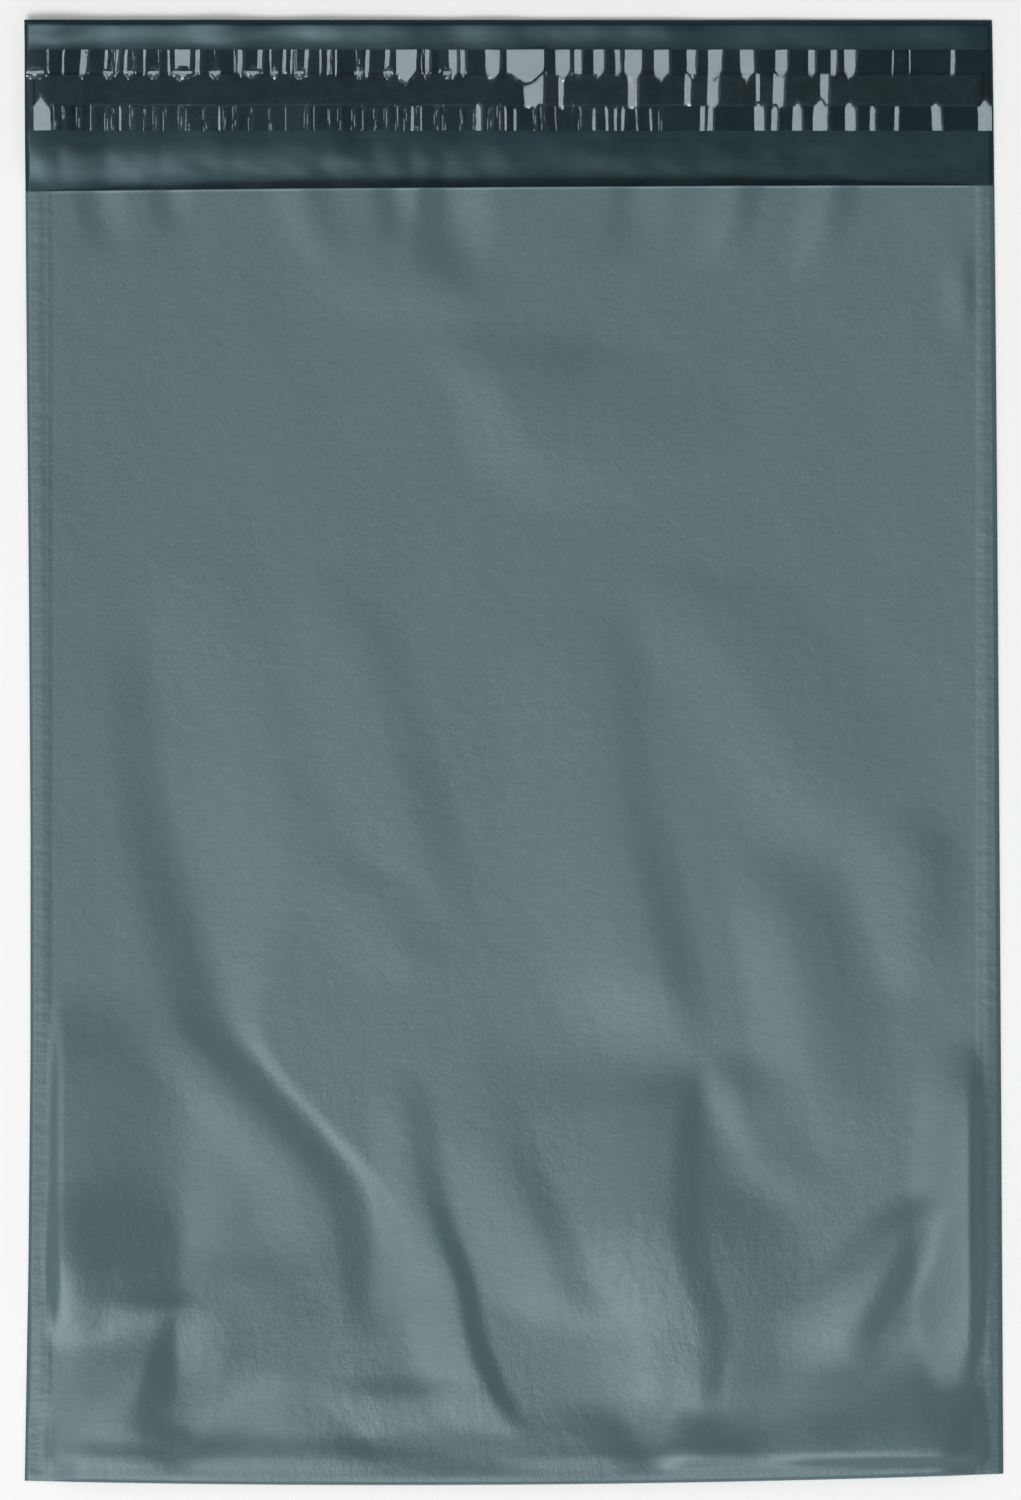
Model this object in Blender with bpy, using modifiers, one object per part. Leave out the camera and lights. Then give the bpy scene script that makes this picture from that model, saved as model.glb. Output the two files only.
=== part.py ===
"""Poly mailer: an empty film bag lying flat, with its flap open.

One web of film makes the flap, the back panel, the bottom fold and the front
panel. The panels are welded along both sides and the pocket is open at the top
edge of the front panel. A strip of adhesive lies on the flap, under a clear
release liner that has puckered across its length.

Metres, +Z up. The bag lies on its back panel: +X runs across it and +Y towards
the flap. The origin is under the middle of the bag's outline.
"""
import math
from collections import namedtuple

import bpy
import numpy as np

# Film and its outline, seen from above
BAG_WIDTH = 0.2274
POCKET_DEPTH = 0.3040
FLAP_DEPTH = 0.0395
FILM_THICKNESS = 0.0000635
LEFT_BOW = 0.0014
RIGHT_LEAN = 0.0027
MOUTH_TILT = 0.0014
BOTTOM_SAG = 0.00128
BOTTOM_CORNER_RISE = 0.00165

# Side welds
SEAM_WIDTH = 0.0035
SEAM_INSET = 0.0003
SEAM_GAP = 0.0001

# How far the front panel stands off the back panel
POCKET_RISE = 0.0068
MOUTH_RISE = 0.0064
MOUTH_RUN = 0.0600
SIDE_RUN = 0.0950
PLATEAU_UP = 0.0440
BOTTOM_BEND = 0.15
CREASE_SEAM_RUN = 0.0050
CREASE_BOTTOM_RUN = 0.0100

# The roll of film along the bottom fold, and the valley that parts it from the
# puffed pocket: places across from the left cut edge, heights up from the fold
FOLD_HEIGHT = 0.0021
FOLD_DIP = 0.0013
FOLD_CREST = 0.0020
FOLD_RUN = 0.0120
VALLEY_LINE = (
    (0.000, 0.0110), (0.037, 0.0075), (0.050, 0.0205), (0.070, 0.0200), (0.082, 0.0100),
    (0.115, 0.0085), (0.168, 0.0120), (0.196, 0.0200), (0.209, 0.0320), (0.217, 0.0220),
    (0.231, 0.0270),
)

# The flap's curled free edge, its level part and its waves
FLAP_CURL = 0.0007
FLAP_CURL_RUN = 0.0068
FLAP_LIFT = 0.0008
FLAP_LEVEL_END = 0.0265
FLAP_SIDE_DROP = 0.6
FLAP_WAVE_RISE = 0.0003
FLAP_WAVE_PITCH = 0.0340
FLAP_WAVE_DRIFT = 1.7

# Adhesive strip and release liner, from the flap's free edge down
LAY_GAP = 0.0003
LINER_TOP = 0.0070
LINER_WIDTH = 0.0190
LINER_THICKNESS = 0.00005
LINER_END_INSET = 0.0004
ADHESIVE_TOP = 0.0124
ADHESIVE_WIDTH = 0.0080
ADHESIVE_THICKNESS = 0.0001
ADHESIVE_END_INSET = 0.0020
PUCKER_PITCH = 0.0055
PUCKER_RISE = 0.0011
PUCKER_LEAN = 0.0014
PUCKER_SLANT = 0.0012
PUCKER_SEED = 11

# Cells of the film and the strips
PANEL_COLUMNS = 46
SEAM_COLUMNS = 1
FRONT_ROWS = 37
FRONT_ROW_GROWTH = 1.3
BACK_ROWS = 2
FOLD_ROWS = 3
FLAP_ROWS = 8
SEAM_ROWS = 24
ADHESIVE_COLUMNS = 48
ADHESIVE_ROWS = 1
CELLS_PER_PUCKER = 2
LINER_ROWS = 4

# A crease follows a path of (across, down) points, measured from the left cut edge
# and from the mouth. It stands up by rise, or lies in where rise is below zero. It
# slopes over before_run on its left or upper side and over after_run on the other,
# and fades out over fade beyond both ends of its path.
Crease = namedtuple("Crease", "path rise before_run after_run fade")

LENGTHWISE_CREASES = (
    # the rims beside the welds
    Crease(((0.006, 0.215), (0.006, 0.255)), 0.0026, 0.004, 0.028, 0.015),
    Crease(((0.223, 0.215), (0.223, 0.259)), 0.0030, 0.017, 0.006, 0.018),
    # the hollow and the three-cornered dent at the lower left
    Crease(((0.035, 0.232), (0.033, 0.257)), -0.0013, 0.026, 0.017, 0.014),
    Crease(((0.034, 0.271), (0.036, 0.287)), -0.0010, 0.014, 0.007, 0.009),
    # the long valley down the left, with the ridge on its left
    Crease(((0.030, 0.111), (0.035, 0.152), (0.044, 0.184)), -0.0011, 0.015, 0.024, 0.022),
    Crease(((0.047, 0.198), (0.069, 0.221), (0.079, 0.233), (0.081, 0.255)),
           -0.0011, 0.014, 0.008, 0.012),
    Crease(((0.036, 0.200), (0.059, 0.226), (0.067, 0.240)), 0.0008, 0.013, 0.014, 0.014),
    # the narrow fold, the softer one beside it, and the step right of the middle
    Crease(((0.088, 0.220), (0.095, 0.244), (0.103, 0.266), (0.110, 0.284)),
           0.0017, 0.014, 0.007, 0.010),
    Crease(((0.111, 0.226), (0.117, 0.239), (0.123, 0.252)), 0.0011, 0.018, 0.008, 0.013),
    Crease(((0.151, 0.228), (0.150, 0.247), (0.156, 0.265)), 0.0024, 0.029, 0.030, 0.022),
    Crease(((0.151, 0.222), (0.150, 0.247), (0.157, 0.272)), 0.0014, 0.016, 0.010, 0.014),
    Crease(((0.167, 0.214), (0.171, 0.228)), 0.0009, 0.011, 0.016, 0.012),
    # the diagonal ridge in the lower right corner
    Crease(((0.208, 0.245), (0.203, 0.259), (0.197, 0.270)), 0.0017, 0.015, 0.009, 0.010),
    # soft waves over the middle
    Crease(((0.136, 0.118), (0.138, 0.143), (0.146, 0.182)), 0.0011, 0.029, 0.012, 0.020),
    Crease(((0.159, 0.098), (0.171, 0.118), (0.185, 0.140)), 0.0008, 0.024, 0.034, 0.018),
    Crease(((0.208, 0.160), (0.207, 0.179)), 0.0008, 0.018, 0.014, 0.015),
    Crease(((0.179, 0.174), (0.183, 0.205)), 0.0011, 0.016, 0.020, 0.020),
    Crease(((0.078, 0.106), (0.087, 0.145)), 0.0006, 0.020, 0.011, 0.022),
    # slack below the mouth, and the gathers along it
    Crease(((0.097, 0.044), (0.110, 0.062)), 0.0006, 0.021, 0.016, 0.016),
    Crease(((0.016, -0.010), (0.018, 0.006)), -0.0006, 0.008, 0.008, 0.010),
    Crease(((0.034, -0.010), (0.034, 0.002)), -0.0006, 0.008, 0.008, 0.010),
    Crease(((0.065, -0.010), (0.067, 0.008)), 0.0005, 0.010, 0.009, 0.012),
    Crease(((0.099, -0.010), (0.100, 0.012)), -0.0010, 0.012, 0.012, 0.014),
    Crease(((0.144, -0.010), (0.143, 0.006)), -0.0008, 0.010, 0.010, 0.013),
    Crease(((0.168, -0.010), (0.166, 0.008)), 0.0006, 0.009, 0.008, 0.013),
    Crease(((0.191, -0.010), (0.188, 0.008)), 0.0007, 0.009, 0.008, 0.015),
)
CROSSWISE_CREASES = (
    # the lower edge of the puffed part
    Crease(((0.004, 0.260), (0.031, 0.261)), 0.0015, 0.029, 0.021, 0.008),
    Crease(((0.060, 0.262), (0.140, 0.260)), 0.0006, 0.018, 0.024, 0.016),
    # the valley under the soft waves, and slack below the mouth
    Crease(((0.118, 0.204), (0.134, 0.202)), -0.0008, 0.018, 0.009, 0.013),
    Crease(((0.070, 0.022), (0.098, 0.030)), 0.0004, 0.013, 0.011, 0.016),
)

# Colour, roughness and opacity of the materials
FILM_COLOUR = (0.112, 0.162, 0.175)
FILM_ROUGHNESS = 0.45
ADHESIVE_COLOUR = (0.012, 0.020, 0.023)
ADHESIVE_ROUGHNESS = 0.30
LINER_COLOUR = (0.62, 0.66, 0.68)
LINER_ROUGHNESS = 0.12
LINER_OPACITY = 0.30

BAG_LENGTH = FLAP_DEPTH + POCKET_DEPTH
SEAM_THICKNESS = 2 * FILM_THICKNESS + SEAM_GAP


def clear_scene():
    """Remove what the scene holds."""
    for item in list(bpy.data.objects):
        bpy.data.objects.remove(item, do_unlink=True)


def new_collection(name):
    """A collection of that name, linked to the scene."""
    collection = bpy.data.collections.new(name)
    bpy.context.scene.collection.children.link(collection)
    return collection


def new_material(name, colour, roughness, opacity=1.0):
    """A Principled material of one colour."""
    material = bpy.data.materials.new(name)
    material.use_nodes = True
    shader = material.node_tree.nodes["Principled BSDF"]
    shader.inputs["Base Color"].default_value = (*colour, 1.0)
    shader.inputs["Roughness"].default_value = roughness
    shader.inputs["Alpha"].default_value = opacity
    material.diffuse_color = (*colour, opacity)
    return material


def ease(value):
    """0 below 0, 1 above 1, and a smooth rise between."""
    value = min(max(value, 0.0), 1.0)
    return value * value * (3.0 - 2.0 * value)


def swell(value):
    """0 at 0, 1 from 1 on, rising fast at first like a blown-up film."""
    return 1.0 - (1.0 - min(max(value, 0.0), 1.0)) ** 2


def ramp(value, bend):
    """A straight rise from 0 to 1, with a round bend over the share bend at both ends."""
    value = min(max(value, 0.0), 1.0)
    near = min(value, 1.0 - value)
    low = near * near / (2.0 * bend) if near < bend else near - 0.5 * bend
    low /= 1.0 - bend
    return low if value < 0.5 else 1.0 - low


def left_edge(y):
    """X of the left cut edge, which bows in, at a place y below the flap's free edge."""
    down = min(max(-y / BAG_LENGTH, 0.0), 1.0)
    return -0.5 * BAG_WIDTH + LEFT_BOW * math.sin(math.pi * down ** 1.5)


def right_edge(y):
    """X of the right cut edge, which leans out towards the bottom."""
    down = min(max(-y / BAG_LENGTH, 0.0), 1.0)
    return 0.5 * BAG_WIDTH + RIGHT_LEAN * down ** 0.7


def across(u, y):
    """X at the share u of the width, from the left cut edge to the right one."""
    return left_edge(y) + u * (right_edge(y) - left_edge(y))


def mouth_y(u):
    """Y of the front panel's top edge, a little higher at the right."""
    return -FLAP_DEPTH + MOUTH_TILT * (u - 0.5)


def bottom_y(u):
    """Y of the bottom fold, which sags in the middle and rises at the right corner."""
    return -BAG_LENGTH + BOTTOM_CORNER_RISE * u * u - 4.0 * BOTTOM_SAG * u * (1.0 - u)


def seam_distance(u, y):
    """Distance in from the nearer side weld, 0 on the weld."""
    width = right_edge(y) - left_edge(y)
    return max(min(u, 1.0 - u) * width - SEAM_WIDTH, 0.0)


def crease_height(crease, along, over):
    """Height of one crease at a place along its path and over it."""
    places = [point[0] for point in crease.path]
    crest = np.interp(along, places, [point[1] for point in crease.path])
    run = crease.before_run if over < crest else crease.after_run
    flank = 1.0 - ease(abs(over - crest) / run)
    start = ease((along - places[0]) / crease.fade + 1.0)
    end = ease((places[-1] - along) / crease.fade + 1.0)
    return crease.rise * flank * start * end


def turned(crease):
    """The same crease with its path given as (down, across)."""
    return crease._replace(path=tuple((down, side) for side, down in crease.path))


def creases_at(side, down):
    """Summed height of all creases at a place measured from the left edge and the mouth."""
    lengthwise = sum(crease_height(turned(item), down, side) for item in LENGTHWISE_CREASES)
    crosswise = sum(crease_height(item, side, down) for item in CROSSWISE_CREASES)
    return lengthwise + crosswise


def front_height(u, y):
    """Height of the front panel's outer face over the ground."""
    side = seam_distance(u, y)
    up = max(y - bottom_y(u), 0.0)
    down = mouth_y(u) - y
    from_left = across(u, y) - left_edge(y)
    valley = np.interp(from_left, *zip(*VALLEY_LINE))
    dip = ease((up - FOLD_CREST) / (valley - FOLD_CREST))
    fold = (FOLD_HEIGHT - FOLD_DIP * dip) * ease(side / FOLD_RUN)
    puff = ramp((up - valley) / (PLATEAU_UP - valley), BOTTOM_BEND)
    rise = MOUTH_RISE + (POCKET_RISE - MOUTH_RISE) * ease(down / MOUTH_RUN)
    pocket = rise * swell(side / SIDE_RUN) * puff
    crease = creases_at(from_left, down)
    crease *= ease(side / CREASE_SEAM_RUN) * ease(up / CREASE_BOTTOM_RUN)
    return SEAM_THICKNESS + fold * (1.0 - puff) + pocket + crease


def flap_height(u, y):
    """Height of the flap's lower face: curled free edge, level film, fall to the mouth."""
    down = min(max(-y, 0.0), FLAP_DEPTH)
    turn = 2.0 * math.pi * u * BAG_WIDTH / FLAP_WAVE_PITCH
    drift = FLAP_WAVE_DRIFT * down / FLAP_DEPTH
    wave = 0.5 + 0.3 * math.sin(turn + drift) + 0.2 * math.sin(1.618 * turn)
    curl = FLAP_CURL * (0.6 + 0.4 * wave) * (1.0 - ease(down / FLAP_CURL_RUN))
    fall = 1.0 - ease((down - FLAP_LEVEL_END) / (FLAP_DEPTH - FLAP_LEVEL_END))
    lift = (FLAP_LIFT + FLAP_WAVE_RISE * wave) * fall
    return (curl + lift) * (1.0 - FLAP_SIDE_DROP * u)


def flap_point(u, t):
    """The web from the flap's free edge to the line under the mouth."""
    y = t * mouth_y(u)
    return across(u, y), y, flap_height(u, y)


def fold_radius(u):
    """Outer radius of the bottom fold, half the height that the front panel starts at."""
    return 0.5 * front_height(u, bottom_y(u))


def back_point(u, t):
    """The back panel, flat on the ground."""
    start = mouth_y(u)
    end = bottom_y(u) + fold_radius(u)
    y = start + t * (end - start)
    return across(u, y), y, 0.0


def fold_point(u, t):
    """The half turn at the bottom, from the back panel to the front panel."""
    radius = fold_radius(u)
    angle = math.pi * t
    y = bottom_y(u) + radius * (1.0 - math.sin(angle))
    return across(u, y), y, radius * (1.0 - math.cos(angle))


def front_point(u, t):
    """The front panel, from the bottom fold up to the mouth."""
    start = bottom_y(u) + fold_radius(u)
    y = start + t ** FRONT_ROW_GROWTH * (mouth_y(u) - start)
    return across(u, y), y, front_height(u, y)


def plan_centre():
    """Middle of the bag's outline in X and Y."""
    steps = [step / 100.0 for step in range(101)]
    lefts = [left_edge(-step * BAG_LENGTH) for step in steps]
    rights = [right_edge(-step * BAG_LENGTH) for step in steps]
    bottom = min(bottom_y(step) for step in steps)
    return 0.5 * (min(lefts) + max(rights)), 0.5 * bottom


def shares(cells):
    """Evenly spaced values from 0 to 1 with that many cells between them."""
    return [step / cells for step in range(cells + 1)]


def web_columns():
    """Shares of the width with a line of vertices on each weld's inner edge."""
    seam = SEAM_WIDTH / BAG_WIDTH
    left = [seam * share for share in shares(SEAM_COLUMNS)[:-1]]
    middle = [seam + (1.0 - 2.0 * seam) * share for share in shares(PANEL_COLUMNS)]
    return left + middle + [1.0 - share for share in reversed(left)]


def web_rows():
    """The web's rows in order: the zone's function and the share of that zone."""
    zones = ((flap_point, FLAP_ROWS), (back_point, BACK_ROWS),
             (fold_point, FOLD_ROWS), (front_point, FRONT_ROWS))
    rows = []
    for place, (zone, cells) in enumerate(zones):
        first = 0 if place == 0 else 1
        rows.extend((zone, share) for share in shares(cells)[first:])
    return rows


def sheet_object(name, columns, rows, surface, collection):
    """A grid whose vertex in column i and row j lies at surface(columns[i], rows[j])."""
    bpy.ops.mesh.primitive_grid_add(
        x_subdivisions=len(columns) - 1, y_subdivisions=len(rows) - 1, size=2.0)
    sheet = bpy.context.object
    sheet.name = name
    sheet.data.name = name
    for owner in list(sheet.users_collection):
        owner.objects.unlink(sheet)
    collection.objects.link(sheet)
    centre_x, centre_y = plan_centre()
    for vertex in sheet.data.vertices:
        column = round((vertex.co.x + 1.0) * 0.5 * (len(columns) - 1))
        row = round((vertex.co.y + 1.0) * 0.5 * (len(rows) - 1))
        x, y, z = surface(columns[column], rows[row])
        vertex.co = (x - centre_x, y - centre_y, z)
    sheet.data.shade_smooth()
    return sheet


def thicken(sheet, thickness, offset):
    """Give a sheet its thickness: offset -1 grows it behind its faces, 1 in front."""
    solidify = sheet.modifiers.new("Thickness", "SOLIDIFY")
    solidify.thickness = thickness
    solidify.offset = offset
    solidify.use_even_offset = True


def build_seam(name, side, cutters):
    """The weld that fills the gap between the two panels along one side."""
    seam_shares = (SEAM_INSET, SEAM_WIDTH - SEAM_INSET)

    def surface(inset, t):
        u = side
        top = mouth_y(u) - SEAM_INSET
        low = bottom_y(u) + fold_radius(u) + SEAM_INSET
        y = low + t * (top - low)
        x = left_edge(y) + inset if side == 0 else right_edge(y) - inset
        return x, y, 0.5 * FILM_THICKNESS

    columns = seam_shares if side == 0 else seam_shares[::-1]
    seam = sheet_object(name, columns, shares(SEAM_ROWS), surface, cutters)
    thicken(seam, FILM_THICKNESS + SEAM_GAP, 1.0)
    seam.hide_render = True
    seam.display_type = "WIRE"
    return seam


def build_bag(parts, cutters):
    """The folded web of film, welded along both sides."""
    bag = sheet_object("mailer_bag", web_columns(), web_rows(),
                       lambda u, row: row[0](u, row[1]), parts)
    thicken(bag, FILM_THICKNESS, -1.0)
    for name, side in (("left_weld", 0), ("right_weld", 1)):
        weld = bag.modifiers.new(name, "BOOLEAN")
        weld.operation = "UNION"
        weld.solver = "EXACT"
        weld.object = build_seam(name, side, cutters)
    bag.data.materials.append(new_material("film", FILM_COLOUR, FILM_ROUGHNESS))
    return bag


def build_adhesive(parts):
    """The strip of adhesive along the flap's inner face."""
    def surface(u, t):
        y = -(ADHESIVE_TOP + (1.0 - t) * ADHESIVE_WIDTH)
        left = left_edge(y) + ADHESIVE_END_INSET
        right = right_edge(y) - ADHESIVE_END_INSET
        return left + u * (right - left), y, flap_height(u, y) + FILM_THICKNESS + LAY_GAP

    strip = sheet_object("adhesive_strip", shares(ADHESIVE_COLUMNS), shares(ADHESIVE_ROWS),
                         surface, parts)
    thicken(strip, ADHESIVE_THICKNESS, 1.0)
    strip.data.materials.append(new_material("adhesive", ADHESIVE_COLOUR, ADHESIVE_ROUGHNESS))
    return strip


def pucker_table():
    """For each pucker, its rise as a share of the full one and its slant."""
    count = round(BAG_WIDTH / PUCKER_PITCH)
    draws = np.random.default_rng(PUCKER_SEED)
    rises = 0.35 + 0.65 * draws.random(count)
    slants = PUCKER_SLANT * (2.0 * draws.random(count) - 1.0)
    return rises, slants


def build_liner(parts):
    """The clear liner over the adhesive, puckered across its length."""
    rises, slants = pucker_table()
    count = len(rises)
    adhesive_middle = ADHESIVE_TOP + 0.5 * ADHESIVE_WIDTH
    held_run = 0.5 * LINER_WIDTH

    def surface(u, t):
        down = LINER_TOP + (1.0 - t) * LINER_WIDTH
        y = -down
        place = min(int(u * count), count - 1)
        phase = u * count - place
        free = ease(abs(down - adhesive_middle) / held_run)
        rise = PUCKER_RISE * rises[place] * (0.35 + 0.65 * free)
        top = math.sin(math.pi * phase)
        pucker = rise * top
        left = left_edge(y) + LINER_END_INSET
        right = right_edge(y) - LINER_END_INSET
        slant = (PUCKER_LEAN + slants[place] * (t - 0.5)) * top
        base = flap_height(u, y) + FILM_THICKNESS + LAY_GAP
        lift = (ADHESIVE_THICKNESS + LAY_GAP) * (1.0 - ease((abs(down - adhesive_middle)
                                                          - 0.5 * ADHESIVE_WIDTH) / 0.004))
        return left + u * (right - left) + slant, y, base + lift + pucker

    liner = sheet_object("release_liner", shares(count * CELLS_PER_PUCKER), shares(LINER_ROWS),
                         surface, parts)
    thicken(liner, LINER_THICKNESS, 1.0)
    liner.data.materials.append(
        new_material("liner", LINER_COLOUR, LINER_ROUGHNESS, LINER_OPACITY))
    return liner


def main():
    """Build the mailer."""
    clear_scene()
    parts = new_collection("poly_mailer")
    cutters = new_collection("poly_mailer_welds")
    build_bag(parts, cutters)
    build_adhesive(parts)
    build_liner(parts)


main()
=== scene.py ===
"""Looks of the poly mailer: fine film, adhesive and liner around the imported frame."""
import math

import bpy
import numpy as np
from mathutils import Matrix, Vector


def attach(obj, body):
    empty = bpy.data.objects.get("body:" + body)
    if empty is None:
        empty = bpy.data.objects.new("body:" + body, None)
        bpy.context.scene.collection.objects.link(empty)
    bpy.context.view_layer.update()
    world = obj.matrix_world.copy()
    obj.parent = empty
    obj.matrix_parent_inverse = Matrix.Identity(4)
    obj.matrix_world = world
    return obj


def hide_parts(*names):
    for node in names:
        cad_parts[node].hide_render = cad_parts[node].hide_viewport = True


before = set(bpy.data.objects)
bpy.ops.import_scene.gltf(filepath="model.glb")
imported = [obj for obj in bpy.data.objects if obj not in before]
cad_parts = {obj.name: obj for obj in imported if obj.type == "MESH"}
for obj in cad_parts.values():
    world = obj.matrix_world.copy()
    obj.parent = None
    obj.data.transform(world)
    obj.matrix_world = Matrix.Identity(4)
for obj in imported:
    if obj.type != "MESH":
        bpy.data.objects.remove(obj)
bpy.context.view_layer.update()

# Film and its outline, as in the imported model
BAG_WIDTH = 0.2274
POCKET_DEPTH = 0.3040
FLAP_DEPTH = 0.0395
BAG_LENGTH = FLAP_DEPTH + POCKET_DEPTH
FILM_THICKNESS = 0.0000635
LEFT_BOW = 0.0014
RIGHT_LEAN = 0.0027
MOUTH_TILT = 0.0014
BOTTOM_SAG = 0.00128
BOTTOM_CORNER_RISE = 0.00165
SEAM_WIDTH = 0.0035

# Side welds. Each lies flat but for one stretch that stands up: its height, and down
# from the mouth where it sets in and dies out, each over a run.
WELD_THICKNESS = 0.00015
LEFT_CROWN = 0.00042
LEFT_CROWN_START = 0.258
LEFT_CROWN_START_RUN = 0.008
LEFT_CROWN_END = 0.292
LEFT_CROWN_END_RUN = 0.010
RIGHT_CROWN = 0.00030
RIGHT_CROWN_START = 0.170
RIGHT_CROWN_START_RUN = 0.060
CROWN_INWARD_RUN = 0.0600

# How far the front panel stands off the back panel
POCKET_RISE = 0.0068
MOUTH_RISE = 0.0064
MOUTH_RUN = 0.0600
SIDE_RUN = 0.0950
PLATEAU_UP = 0.0530
BOTTOM_BEND = 0.30
SWELL_STEP = 0.0005
MOUTH_LIP = 0.00012
MOUTH_LIP_RUN = 0.0006
FOLD_HEIGHT = 0.0021
FOLD_DIP = 0.0013
FOLD_CREST = 0.0020
FOLD_RUN = 0.0120
CREASE_SEAM_RUN = 0.0040
CREASE_BOTTOM_RUN = 0.0050
CREASE_END_RUN = 0.0020

# Flap, adhesive and liner, from the flap's free edge down
FLAP_CURL = 0.0017
FLAP_CURL_RUN = 0.0063
FLAP_LIFT = 0.0012
FLAP_LEVEL_END = 0.0285
FLAP_SCALLOP = 0.0022
FLAP_SCALLOP_PITCH = 0.0100
FLAP_SCALLOP_DRIFT = 0.6
FLAP_SCALLOP_DRIFT_RATE = 0.73
FLAP_SCALLOP_FADE = (0.55, 0.45)
FLAP_SCALLOP_FADE_RATE = 0.41
FLAP_SIDE_DROP = 0.92
FLAP_WAVE_RISE = 0.0003
FLAP_WAVE_PITCH = 0.0340
FLAP_WAVE_DRIFT = 1.7
FLAP_WAVE_SHARES = (0.5, 0.3, 0.2)
FLAP_WAVE_RATE = 1.618
FLAP_CURL_SHARES = (0.6, 0.4)
LAY_GAP = 0.00005
LINER_TOP = 0.0070
LINER_WIDTH = 0.0190
LINER_THICKNESS = 0.00005
LINER_END_INSET = 0.0004
ADHESIVE_TOP = 0.0124
ADHESIVE_WIDTH = 0.0080
ADHESIVE_THICKNESS = 0.0001
ADHESIVE_END_INSET = 0.0020

# Folds of the liner: flat panes, free and held ones, that rise to the right and fall
# off beyond their fold, and the tips with which they reach over the adhesive
MILLIMETRE = 0.001
PANE_TILT = 0.215
HELD_TILT = 0.155
PANE_START = -0.01
PANE_GAP = 0.00005
PANE_FALL = 0.0005
PANE_MEET = 0.0003
PANE_TIP = 0.0016
PANE_TIP_WIDTH = 0.0026
PANE_TIP_SHARES = (0.4, 2.0)
PANE_JAG = 0.0007
PANE_JAGS = 261
BULB_LENGTH = 0.0011
BULB_TILT = 0.215
BULB_EDGE = 0.30

# Narrow folds at random between the panes, above and below the adhesive
STREAK_SEED = 5
STREAK_GAPS = ((0.0040, 0.0100), (0.0016, 0.0044))
STREAK_ENDS = (0.100, 0.150)
STREAK_RUNS = (0.00030, 0.00080)
STREAK_TILTS = (0.35, 0.43)
STREAK_LEAN = 0.0008

# Flat panes between the liner's folds, above and below the adhesive: from, to, in mm
# across from the left cut edge at the pane's top, then how far it leans to the right
UPPER_PANES = (
    (9.0, 9.5, -0.8), (13.4, 14.9, -1.8), (19.0, 19.7, -1.4), (20.8, 22.2, -2.0),
    (23.6, 24.3, -1.0), (28.0, 28.5, -0.4), (33.6, 34.1, 0.6), (35.4, 39.0, -0.4),
    (40.3, 41.3, -0.8), (50.2, 51.3, -0.6), (54.9, 56.0, -1.2), (57.6, 58.0, 0.4),
    (60.8, 61.6, -0.8), (62.6, 63.1, -0.6), (66.0, 66.9, -1.4), (69.4, 69.8, -0.2),
    (71.2, 71.9, -0.4), (73.0, 73.4, 0.0), (78.6, 79.1, -0.8), (80.3, 81.2, -1.0),
    (84.8, 85.9, -0.8), (87.4, 92.2, -0.3), (93.6, 95.2, -0.4),
    (99.8, 101.6, 0.0), (102.4, 103.6, 0.2), (108.4, 111.7, -0.1), (113.3, 122.1, 0.1),
    (124.9, 128.2, 0.1), (129.3, 130.9, 0.0), (133.8, 136.2, 0.0), (138.8, 140.0, 0.5),
    (141.1, 145.1, 0.0), (148.0, 151.5, -0.1), (155.7, 157.8, -0.3), (160.7, 164.0, -0.2),
    (168.2, 171.5, 0.0), (176.6, 179.4, -0.5), (184.2, 185.8, 0.1), (189.6, 190.9, 0.0),
    (192.7, 195.3, 0.0), (204.0, 204.4, -0.3), (208.0, 208.3, 0.0), (217.8, 218.8, -0.4),
)
LOWER_PANES = (
    (1.4, 5.6, 0.6), (22.2, 22.6, 0.0), (45.8, 46.2, -0.3), (91.3, 92.0, -0.6),
    (93.0, 93.5, -0.2), (105.7, 107.4, -0.2), (112.6, 113.1, 0.2),
    (139.2, 139.9, -0.3), (140.8, 141.6, -0.7), (159.3, 160.4, -0.6), (161.2, 162.4, -0.7),
    (171.5, 173.8, 0.0), (175.8, 177.2, -0.3), (180.5, 182.6, 0.0), (186.0, 189.4, -0.8),
    (192.8, 195.3, 0.0), (199.2, 200.4, -0.6), (205.0, 206.0, -0.6), (212.4, 214.6, 1.0),
    (223.6, 226.9, 0.6),
)
HELD_PANES = (
    (117.2, 121.8, 0.3), (125.6, 126.8, -0.2), (141.8, 144.0, 0.0), (155.4, 156.9, -0.6),
    (160.8, 163.4, -0.6), (172.0, 173.0, -0.2), (176.2, 178.8, -0.6), (187.2, 189.2, -0.4),
)

# Small swellings of the liner along the adhesive's upper edge: centre and half-width in mm
BULBS = (
    (2.4, 2.9), (19.8, 1.4), (24.6, 1.2), (30.4, 1.5), (37.2, 2.9), (44.8, 1.6), (53.6, 2.0),
    (58.8, 0.9), (64.6, 1.4), (78.6, 1.2), (85.6, 1.3), (99.4, 1.0), (134.8, 1.1), (157.0, 1.2),
)

# The valley above the bottom fold: places across from the left cut edge, heights up
VALLEY_LINE = (
    (0.000, 0.0110), (0.020, 0.0105), (0.030, 0.0090), (0.037, 0.0075), (0.043, 0.0130),
    (0.050, 0.0205), (0.070, 0.0200), (0.080, 0.0110), (0.095, 0.0085), (0.115, 0.0085),
    (0.142, 0.0095), (0.148, 0.0095), (0.152, 0.0110), (0.168, 0.0120), (0.178, 0.0165),
    (0.196, 0.0200), (0.203, 0.0270), (0.209, 0.0320), (0.215, 0.0220), (0.221, 0.0260),
    (0.231, 0.0270),
)

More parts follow.
